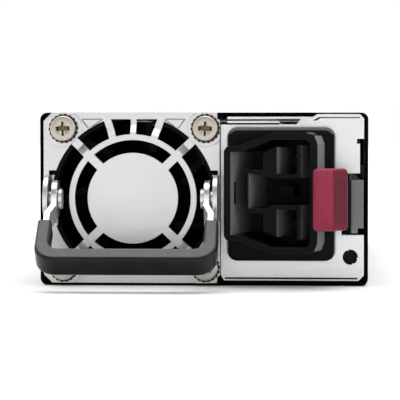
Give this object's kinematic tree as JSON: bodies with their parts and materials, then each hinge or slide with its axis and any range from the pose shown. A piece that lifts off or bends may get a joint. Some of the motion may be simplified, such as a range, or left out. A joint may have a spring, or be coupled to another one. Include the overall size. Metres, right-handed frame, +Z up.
{
  "type": "hot swap server power supply",
  "caption": "Slot-in server power supply: coated steel case with card-edge plug at the rear, and at the front a guarded fan, fold-out bail handle, mains inlet and release latch",
  "frame": {"origin": "middle of the case bottom face, on the surface it rests on", "axes": "+X across the width towards the inlet side, +Y from the handle end to the card-edge end, +Z up"},
  "size_m": [0.0749, 0.2182, 0.039],
  "materials": {
    "case_steel": "fine satin black coat",
    "plate_steel": "bright satin plated sheet",
    "rear_steel": "galvanised sheet",
    "spring_steel": "satin spring strip",
    "bail_steel": "polished stainless strip",
    "nickel": "satin nickel",
    "dark_washer": "black oxide",
    "fan_plastic": "fine moulded texture",
    "grip_plastic": "soft satin overmould",
    "inlet_plastic": "satin moulded",
    "latch_plastic": "satin maroon",
    "pin_metal": "tinned contact",
    "clear_pipe": "clear acrylic",
    "lamp_white": "moulded lamp",
    "board_green": "solder mask",
    "gold": "plated contact",
    "brass": "turned brass",
    "film_sheet": "insulating film",
    "ferrite": "sintered ferrite",
    "copper": "enamelled copper",
    "base_plastic": "moulded base",
    "cap_yellow": "film capacitor shell",
    "cap_blue": "dipped disc",
    "cap_sleeve": "shrink sleeve",
    "can_silver": "drawn can",
    "fuse_body": "fuse barrel",
    "chip_black": "moulded package",
    "sink_metal": "extruded",
    "relay_plastic": "relay shell",
    "tape_yellow": "tape wrap",
    "bus_copper": "tinned copper bar",
    "header_white": "moulded header"
  },
  "bodies": {
    "supply": {"chassis_tray": "case_steel", "top_cover": "case_steel", "cover_screws": "dark_washer", "rear_panel": "rear_steel", "fan_guard": "plate_steel", "fan_screws": "nickel", "lock_washers": "dark_washer", "fan_frame": "fan_plastic", "fan_bearing": "brass", "fan_stator": "copper", "pivot_pins": "bail_steel", "inlet_plate": "plate_steel", "inlet_housing": "inlet_plastic", "inlet_pins": "pin_metal", "inlet_board": "board_green", "disc_capacitors": "cap_blue", "light_pipe": "clear_pipe", "status_lamp": "lamp_white", "latch_root": "spring_steel", "latch_rivets": "bail_steel", "main_board": "board_green", "card_contacts": "gold", "standoffs": "brass", "board_screws": "nickel", "insulator_sheet": "film_sheet", "filter_choke_core": "ferrite", "filter_choke_coils": "copper", "choke_bases": "base_plastic", "film_capacitors": "cap_yellow", "input_fuse": "fuse_body", "bridge_rectifier": "chip_black", "boost_choke_core": "ferrite", "boost_choke_winding": "copper", "bulk_capacitor": "cap_sleeve", "capacitor_cradle": "base_plastic", "switch_heat_sink": "sink_metal", "power_transistors": "chip_black", "inrush_relay": "relay_plastic", "control_card": "board_green", "control_chips": "chip_black", "transformer_core": "ferrite", "transformer_windings": "tape_yellow", "transformer_bobbin": "base_plastic", "resonant_choke": "ferrite", "standby_transformer": "tape_yellow", "output_heat_sink": "sink_metal", "output_capacitors": "can_silver", "output_bus_bars": "bus_copper", "fan_header": "header_white"},
    "fan_rotor": {"rotor_hub": "fan_plastic", "rotor_shaft": "spring_steel", "rotor_magnet": "ferrite"},
    "bail_handle": {"handle_arms": "bail_steel", "handle_grip": "grip_plastic"},
    "release_latch": {"latch_arm": "spring_steel", "latch_tab": "latch_plastic"}
  },
  "joints": [
    {"name": "fan_spin", "type": "hinge", "parent": "supply", "child": "fan_rotor", "pos_m": [-0.0158, -0.0805, 0.01975], "axis": [0, 1, 0], "continuous": true},
    {"name": "handle_fold", "type": "hinge", "parent": "supply", "child": "bail_handle", "pos_m": [-0.0158, -0.0982, 0.01975], "axis": [-1, 0, 0], "range_deg": [0, 90]},
    {"name": "latch_press", "type": "hinge", "parent": "supply", "child": "release_latch", "pos_m": [0.0355, -0.0144, 0.0185], "axis": [0, 0, -1], "range_deg": [0, 1.7], "stiffness_Nm_per_rad": 1.5}
  ]
}
